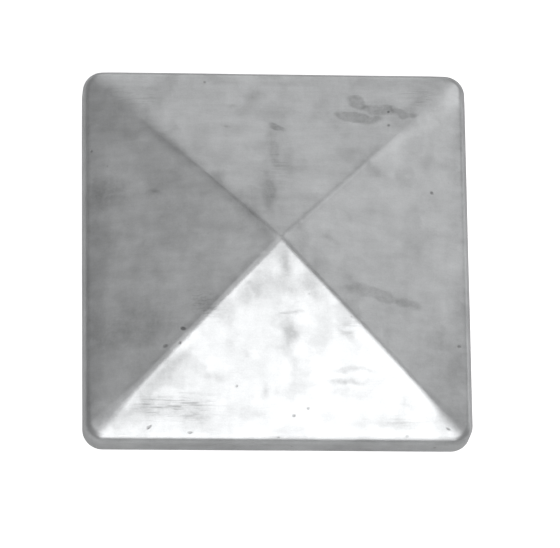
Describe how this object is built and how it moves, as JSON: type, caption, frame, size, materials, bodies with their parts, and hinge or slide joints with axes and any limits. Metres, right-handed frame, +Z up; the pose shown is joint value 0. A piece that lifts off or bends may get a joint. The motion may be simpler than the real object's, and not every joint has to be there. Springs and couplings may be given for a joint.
{
  "type": "fence post cap",
  "caption": "Square pressed-steel pyramid cap that covers the open top of a square hollow fence post and is held inside it by barbed spring legs.",
  "frame": {"origin": "middle of the skirt's mouth, in the plane of the skirt's lower edge, where the post goes in", "axes": "+Z up through the peak, against the way the post goes in; +X and +Y along the skirt's sides, the upper spring strap lying along X"},
  "size_m": [0.105, 0.105, 0.0372],
  "materials": {
    "shell_zinc": "hot-dip galvanised, smooth satin with cloudy mottling",
    "stud_steel": "galvanised over a welded joint",
    "spring_steel": "rolled spring steel, zinc flake coat",
    "zinc_plate": "bright zinc plate",
    "nylon": "moulded nylon",
    "seal_rubber": "moulded EPDM rubber, matt"
  },
  "bodies": {
    "cap": {"cap_shell": "shell_zinc", "weld_stud": "stud_steel", "spring_strap_across": "spring_steel", "spring_strap_along": "spring_steel", "post_seal": "seal_rubber"},
    "washer": {"clamp_washer": "zinc_plate"},
    "nut": {"lock_nut": "zinc_plate", "nut_nylon_ring": "nylon"}
  },
  "joints": [
    {"name": "washer_slide", "type": "slide", "parent": "cap", "child": "washer", "axis": [0, 0, -1], "range_m": [0, 0.006]},
    {"name": "nut_turn", "type": "hinge", "parent": "washer", "child": "nut", "pos_m": [0, 0, 0.008], "axis": [0, 0, -1], "range_deg": [0, 2160]}
  ],
  "couplings": [
    {"joint": "nut_turn", "follows": "washer_slide", "rad_per_m": 6283.2}
  ]
}
